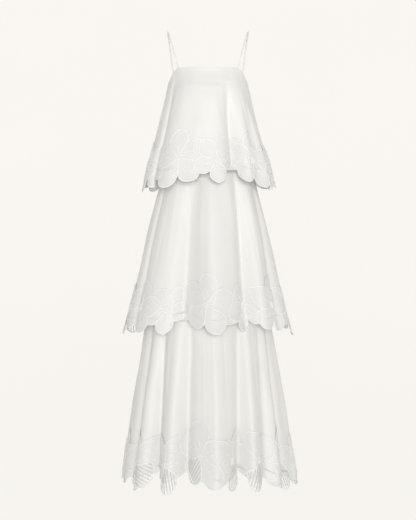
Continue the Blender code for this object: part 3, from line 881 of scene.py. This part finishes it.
class Soup:
    """Points in the flat border (along, over the hem, lift) and faces, gathered for one mesh."""

    def __init__(self):
        self.points, self.faces, self.kinds = [], [], []
        self.count, self.kind = 0, OUTLINE_KIND

    def close(self):
        """The faces added since the last call take the present kind."""
        self.kinds += [self.kind] * (len(self.faces) - len(self.kinds))

    def add(self, points, faces):
        self.points.append(points)
        self.faces += [[i + self.count for i in face] for face in faces]
        self.count += len(points)

    def cord(self, line, wide, high, lift, sides=6):
        """A low round cord along a line, with pointed ends."""
        ways = np.gradient(line, axis=0)
        ways /= np.linalg.norm(ways, axis=1, keepdims=True) + 1e-9
        aside = np.stack([-ways[:, 1], ways[:, 0]], axis=1)
        size = np.ones(len(line))
        size[0] = size[-1] = 0.35
        turns = np.arange(sides) * 2 * math.pi / sides
        across = (np.cos(turns) * wide / 2)[None, :, None]
        flat = line[:, None] + aside[:, None] * across * size[:, None, None]
        up = lift + high * (0.5 + 0.5 * np.sin(turns))[None, :] * size[:, None]
        points = np.concatenate([flat, up[..., None]], axis=2).reshape(-1, 3)
        self.add(points, tube_faces(len(line), sides))

    def knot(self, x, y, radius, high, lift, long=1.0, way=0.0):
        """A small embroidered dome, stretched along its way."""
        sides = 8
        turns = np.arange(sides) * 2 * math.pi / sides
        rings = []
        for size, up in ((1.0, 0.0), (0.93, 0.45), (0.62, 0.82)):
            reach = radius * size
            ring = np.stack([reach * np.cos(turns), radius * long * size * np.sin(turns)], axis=1)
            level = np.full((sides, 1), lift + high * up)
            rings.append(np.concatenate([turned(ring, way, x, y), level], axis=1))
        points = np.concatenate(rings + [np.array([[x, y, lift + high], [x, y, lift]])])
        faces = tube_faces(3, sides)[:-2]  # without flat ends
        top, base = 3 * sides, 3 * sides + 1
        for j in range(sides):
            k = (j + 1) % sides
            faces += [(2 * sides + j, 2 * sides + k, top), (k, j, base)]
        self.add(points, faces)


def hanging_curl(flat):
    """How far the free petals and the hem's edge stand off, uneven along the border."""
    x, y = flat[:, 0], flat[:, 1]
    hanging = np.clip(-y, 0, 80) / 60
    uneven = 5.0 + 4.0 * np.sin(x / 31) + 2.5 * np.sin(x / 13 + 1.1)
    ripple = 0.7 * np.sin(x / 9 + y / 14) * np.clip(hanging * 2, 0, 1)
    return np.maximum(uneven, 0.5) * hanging**1.5 + ripple


def relief(flat):
    """Low unevenness of embroidered organza that doesn't lie quite flat."""
    x, y = flat[:, 0], flat[:, 1]
    return 0.35 + 0.35 * np.sin(x / 11 + y / 23) * np.sin(y / 12 - x / 37)


def raised_flat(points):
    """Border points with the curl and relief added to their lift."""
    found = np.array(points, float)
    found[:, 2] += hanging_curl(found) + relief(found)
    return found


def petals_between(petals, low, high):
    """The petals that reach into the stretch of the border from low to high."""
    return [p for p in petals if p["outline"][:, 0].max() > low and p["outline"][:, 0].min() < high]


def organza_sheet(name, layer, petals, low, high):
    """The sheer ground of a border: one sheet cut round the blossoms, with the gaps cut out."""
    near = petals_between(petals, low, high)
    shapes = [p["outline"] for p in near]
    hearts = {p["middle"] for p in near}
    ring = np.arange(14) * 2 * math.pi / 14
    for x, y in sorted(hearts):
        shapes.append(np.stack([x + 20 * np.sin(ring), y + 20 * np.cos(ring)], axis=1))
    slots = [
        s
        for p in near
        for s in p["slots"]
        if s[:, 0].min() > low + PETAL_RIM and s[:, 0].max() < high - PETAL_RIM
    ]
    left, right = low - 30, high + 30
    band = [(left, BAND_BOTTOM), (right, BAND_BOTTOM), (right, BAND_TOP), (left, BAND_TOP)]
    shapes.append(np.array(band))
    points, edges = [], []
    for shape in shapes + slots:
        start, count = len(points), len(shape)
        points += [Vector(p) for p in shape]
        edges += [(start + i, start + (i + 1) % count) for i in range(count)]
    rows = np.linspace(SHEET_LOW, SHEET_HIGH, 41)
    for x in (low, high):
        start = len(points)
        points += [Vector((x, q)) for q in rows]
        edges += [(start + i, start + i + 1) for i in range(len(rows) - 1)]
    grid_x = np.arange(low + 3, high - 2, SHEET_PITCH[0])
    grid_y = np.arange(SHEET_LOW + 6, SHEET_HIGH - 4, SHEET_PITCH[1])
    grid = np.array([(x, q + (3 if i % 2 else 0)) for i, x in enumerate(grid_x) for q in grid_y])
    grid = grid[covered(grid, shapes) & ~covered(grid, slots)]
    points += [Vector(p) for p in grid]
    found, _, faces, *_ = delaunay_2d_cdt(points, edges, [], 0, 0.15)
    flat = np.array([tuple(v) for v in found], float)
    triangles = np.array([f for f in faces if len(f) == 3])
    middles = flat[triangles].mean(axis=1)
    keep = covered(middles, shapes) & ~covered(middles, slots)
    keep &= (middles[:, 0] > low) & (middles[:, 0] < high)
    triangles = triangles[keep]
    used = np.unique(triangles)
    place = np.zeros(len(flat), int)
    place[used] = np.arange(len(used))
    triangles, flat = place[triangles], flat[used]
    inner, outer = (
        layer.laid(raised_flat(np.column_stack([flat, np.full(len(flat), lift)])))
        for lift in (LACE_LIFT, LACE_LIFT + ORGANZA)
    )
    deep = len(flat)
    seen = {(a, b) for tri in triangles.tolist() for a, b in zip(tri, tri[1:] + tri[:1])}
    faces = triangles.tolist() + (triangles[:, ::-1] + deep).tolist()
    faces += [(b, a, deep + a, deep + b) for a, b in seen if (b, a) not in seen]
    return add_object(name, np.concatenate([outer, inner]), faces, organza)


def clear_of(line, petal, petals, hearts, low, high):
    """Which points of a line show: not under a petal of higher rank, a heart or past the seams."""
    x = petal["middle"][0]
    near = [p for p in petals if abs(p["middle"][0] - x) < 260]
    keep = ~covered(line, [p["outline"] for p in near if p["rank"] > petal["rank"]])
    for x, y in hearts:
        keep &= np.hypot(line[:, 0] - x, line[:, 1] - y) > HEART - 1
    return keep & (line[:, 0] > low + 1.2) & (line[:, 0] < high - 1.2)


def fill_line(style, offset, size):
    """One line of a petal's filling, before it is trimmed to the petal."""
    if style == "along":
        return np.stack([np.full(60, offset), np.linspace(size * 0.1, size, 60)], axis=1)
    if style == "across":
        half = size * PETAL_WIDTH_SHARE / 2
        line = np.stack([np.linspace(-half, half, 50), np.full(50, size * 0.55 + offset)], axis=1)
        line[:, 1] += 3.5 * np.cos(line[:, 0] / half * 1.6)
        return line
    way = np.linspace(-size, size, 90)
    x, y = way * 0.62 + offset * 0.8, way * 0.785 + size * 0.5 - offset * 0.6
    return np.stack([x, y], axis=1)


def embroidery(name, layer, petals, low, high):
    """The raised work of a border: petal outlines, fill threads or bars between the gaps, veins,
    hearts and the hem cord."""
    near = petals_between(petals, low - 5, high + 5)
    hearts = sorted({p["middle"] for p in near})
    soup = Soup()
    for petal in near:
        size, pointed, way = petal["size"], petal["pointed"], petal["way"]
        x, y = petal["middle"]

        def shown(line):
            return runs(line, clear_of(line, petal, near, hearts, low, high))

        wide = OUTLINE_CORD[0]
        outline = turned(petal_outline(size, pointed, wide / 2, 24), way, x, y)
        for run in shown(resampled(outline, 4.2)):
            soup.cord(run, *OUTLINE_CORD, CORD_FOOT)
        soup.close()
        if petal["slots"]:
            # Bars of the hanging petals take the bar cord look, which carries painted shade.
            soup.kind, style, cord_size = BAR_KIND, "along", BAR_CORD
            offsets = (np.arange(-4, 4) + 0.5) * SLOT_PITCH
        else:
            soup.kind, cord_size = FILL_KIND, FILL_CORD
            style = FILL_STYLES[(petal["blossom"] * 2 + petal["index"]) % 3]
            offsets = np.arange(-9, 10) * FILL_PITCH
        limit = petal_outline(size, pointed, wide + 0.6, 24)
        for offset in offsets:
            line = resampled(fill_line(style, offset, size), 5.5)
            line = line[inside(limit, line)]
            if len(line) < 3:
                continue
            for run in shown(turned(line, way, x, y)):
                soup.cord(run, *cord_size, CORD_FOOT, sides=5)
        soup.close()
        soup.kind = OUTLINE_KIND
        vein = np.stack([np.zeros(12), np.linspace(HEART + 1, size * 0.42, 12)], axis=1)
        for run in shown(turned(vein, way, x, y)):
            soup.cord(run, *VEIN_CORD, CORD_FOOT, sides=5)
            soup.knot(*run[-1], 2.2, 1.7, CORD_FOOT, 1.5, way)
    hem_x = np.arange(low, high, 5.0)
    hem = np.stack([hem_x, np.full(len(hem_x), BAND_BOTTOM + 1.4)], axis=1)
    for run in runs(hem, ~covered(hem, [p["outline"] for p in near])):
        soup.cord(run, *HEM_CORD, CORD_FOOT)
    for x, y in hearts:
        if not low + HEART * 0.5 < x < high - HEART * 0.5:
            continue
        for radius, count, size in HEART_RINGS:
            for k in range(count):
                a = k * 2 * math.pi / count + radius
                kx, ky = x + radius * math.sin(a), y + radius * math.cos(a)
                if low + 2.5 < kx < high - 2.5:
                    soup.knot(kx, ky, size, 2.0, CORD_FOOT, 1.15, math.degrees(a))
    soup.close()
    points = layer.laid(raised_flat(np.concatenate(soup.points)))
    return add_object(name, points, soup.faces, cord, (thread, bars), soup.kinds)


# Straps


def strap_knots(side):
    """The points that a strap's middle line passes through, from front to back."""
    angles = np.radians(STRAP_ENDS)
    ends = top_tier.points(angles, neck_height(angles))
    first, last = ends[0] + (0, 1.2, -1.5), ends[1] + (0, -1.2, -1.5)
    knots = np.array(
        [
            first,
            (103.5, -70, -96),
            (114, -52, -56),
            (124, -32, -20),
            (130, -8, -1.5),
            (130.5, 12, -3),
            (127, 40, -30),
            (121, 60, -76),
            (115, 68, -118),
            last,
        ]
    )
    knots[:, 0] *= side
    return knots


def strap(name, side):
    """A narrow rouleau: a flattened, slightly uneven tube with the ridge of its seam inside."""
    knots = strap_knots(side)
    at = np.arange(len(knots))
    fine = np.linspace(0, len(knots) - 1, STRAP_STATIONS)
    columns = [smooth_at(fine, np.column_stack([at, knots[:, k]]), 1) for k in range(3)]
    line = np.stack(columns, axis=-1)
    ways = np.gradient(line, axis=0)
    ways /= np.linalg.norm(ways, axis=1, keepdims=True)
    outward = np.tile((float(side), 0.0, 0.0), (len(line), 1))
    wide = np.cross(ways, np.cross(outward, ways))
    wide /= np.linalg.norm(wide, axis=1, keepdims=True)
    flat_way = np.cross(ways, wide)
    sides = STRAP_SIDES
    turns = np.arange(sides) * 2 * math.pi / sides
    uneven = 1 + 0.03 * np.sin(fine * 2.3) + 0.02 * np.sin(fine * 5.1 + 1)
    ring_w = np.sign(np.cos(turns)) * np.abs(np.cos(turns)) ** 0.8 * STRAP_HALF_WIDTH
    seam_ridge = 0.35 * np.exp(-(((turns - 1.5 * math.pi) / 0.25) ** 2))
    ring_h = np.sin(turns) * STRAP_HALF_THICKNESS - seam_ridge
    tube = line[:, None] + uneven[:, None, None] * (
        ring_w[None, :, None] * wide[:, None] + ring_h[None, :, None] * flat_way[:, None]
    )
    faces = tube_faces(len(line), sides)
    return add_object(name, tube.reshape(-1, 3), faces, crepe)


# Building


def lining_grid(layer, t, levels):
    """Points and outward ways of a lining at the given heights."""
    z = np.array([np.full(t.shape, float(level)) for level in levels])
    angles = np.broadcast_to(t, z.shape)
    face, out = layer.points(angles, z), layer.normals(angles, z)
    ripple = 0.5 * np.sin(11 * angles + z / 37) + 0.4 * np.sin(19 * angles - z / 23)
    return face + ripple[..., None] * out, out


def declare(piece, node):
    """The node that a piece stands for: its imported part is hidden."""
    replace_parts(piece, node)


for tier, (layer, top, blossoms, count, rows, hangs_from) in TIERS.items():
    petals = border_petals(layer, blossoms)
    with_neck = tier == "top_tier"
    for half, (first, last) in HALVES.items():
        name = f"{tier}_{half}_cloth"
        panel = tier_panel(name, layer, top, first, last, count, rows, with_neck)
        declare(panel, f"{tier}_{half}")
        low, high = layer.span(first, last)
        sheet = organza_sheet(f"{tier}_organza_{half}", layer, petals, low, high)
        cords = embroidery(f"{tier}_embroidery_{half}", layer, petals, low, high)
        declare(sheet, f"{tier}_lace_{half}")


for half, (first, last) in HALVES.items():
    t = np.linspace(first + 0.0006, last - 0.0006, 97)
    neck = neck_height(t)
    edge_out = top_tier.normals(t, neck)
    edge = top_tier.points(t, neck - 0.4) - LINING_TUCK * edge_out
    levels = np.linspace(-215, WAIST_Z, 34)
    lower, lower_out = lining_grid(bodice_lining, t, levels)
    # Between the top edge and the first full ring, rows pass evenly from one to the other.
    share = np.linspace(0, 1, 12)[:-1, None, None]
    outer = np.concatenate([edge + (lower[0] - edge) * share, lower])
    out = np.concatenate([edge_out + (lower_out[0] - edge_out) * share, lower_out])
    bodice = grid_shell(f"under_bodice_{half}_cloth", outer, outer - LINING * out, lining)
    declare(bodice, f"under_bodice_{half}")
    outer, out = lining_grid(skirt_lining, t, np.linspace(WAIST_Z - SEAM_GAP, HIP_SEAM_Z, 60))
    skirt = grid_shell(f"under_skirt_{half}_cloth", outer, outer - LINING * out, lining)
    declare(skirt, f"under_skirt_{half}")

for side, name in ((-1, "left"), (1, "right")):
    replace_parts(strap(f"strap_{name}_rouleau", side), f"strap_{name}")


# Stage, light and camera


def sweep():
    """Floor and backdrop in one pale sweep, below and behind the dress."""
    radius, bend_y = SWEEP_RADIUS, SWEEP_BACK_Y - SWEEP_RADIUS
    profile = [(y, FLOOR_Z) for y in (-9.0, -3.0, -1.5, 0.0, bend_y)]
    for k in range(1, 17):
        a = k * math.pi / 32
        profile.append((bend_y + radius * math.sin(a), FLOOR_Z + radius - radius * math.cos(a)))
    profile.append((SWEEP_BACK_Y, SWEEP_TOP_Z))
    points = [(x, y, z) for y, z in profile for x in (-SWEEP_HALF_WIDTH, SWEEP_HALF_WIDTH)]
    faces = [(2 * i, 2 * i + 1, 2 * i + 3, 2 * i + 2) for i in range(len(profile) - 1)]
    mesh = bpy.data.meshes.new("sweep")
    mesh.from_pydata(points, [], faces)
    mesh.materials.append(backdrop)
    mesh.shade_smooth()
    made = bpy.data.objects.new("sweep", mesh)
    bpy.context.scene.collection.objects.link(made)


def sun_light(name, way, strength, spread, colour):
    """A broad far light from the direction way, its spread in degrees."""
    lamp = bpy.data.lights.new(name, "SUN")
    lamp.energy = strength
    lamp.angle = math.radians(spread)
    lamp.color = colour
    made = bpy.data.objects.new(name, lamp)
    made.rotation_euler = (-Vector(way)).to_track_quat("-Z", "Y").to_euler()
    bpy.context.scene.collection.objects.link(made)


def area_light(name, place, target, size, power, colour):
    """A soft box at a place, turned to its target. Sizes in metres, power in watts."""
    lamp = bpy.data.lights.new(name, "AREA")
    lamp.shape = "RECTANGLE"
    lamp.size, lamp.size_y = size
    lamp.energy = power
    lamp.color = colour
    made = bpy.data.objects.new(name, lamp)
    made.location = place
    made.rotation_euler = (Vector(target) - Vector(place)).to_track_quat("-Z", "Y").to_euler()
    bpy.context.scene.collection.objects.link(made)


sweep()
sun_light("key", (0.06, -1.0, 0.04), strength=2.18, spread=24.0, colour=(1.0, 0.995, 0.982))
area_light("fill", (-3.2, -3.6, -0.5), (0.0, 0.0, -0.75), (2.6, 3.0), 7.0, (0.98, 0.99, 1.0))
area_light("edge", (3.4, -1.6, 0.3), (0.0, 0.0, -0.8), (2.2, 3.0), 6.0, (1.0, 0.99, 0.98))

world = bpy.data.worlds.new("studio")
bpy.context.scene.world = world
world.use_nodes = True
surround = world.node_tree.nodes["Background"]
surround.inputs["Color"].default_value = (1.0, 0.968, 0.93, 1.0)
surround.inputs["Strength"].default_value = 0.41
bpy.context.scene.view_settings.view_transform = "Standard"

camera = bpy.data.cameras.new("camera")
camera.sensor_fit = "VERTICAL"
camera.sensor_height = SENSOR
camera.lens = SENSOR / (VIEW_HEIGHT / CAMERA_DISTANCE)
camera_object = bpy.data.objects.new("camera", camera)
camera_object.location = (0.0, -CAMERA_DISTANCE, VIEW_MIDDLE_Z)
camera_object.rotation_euler = (math.radians(90), 0.0, 0.0)
bpy.context.scene.collection.objects.link(camera_object)
bpy.context.scene.camera = camera_object
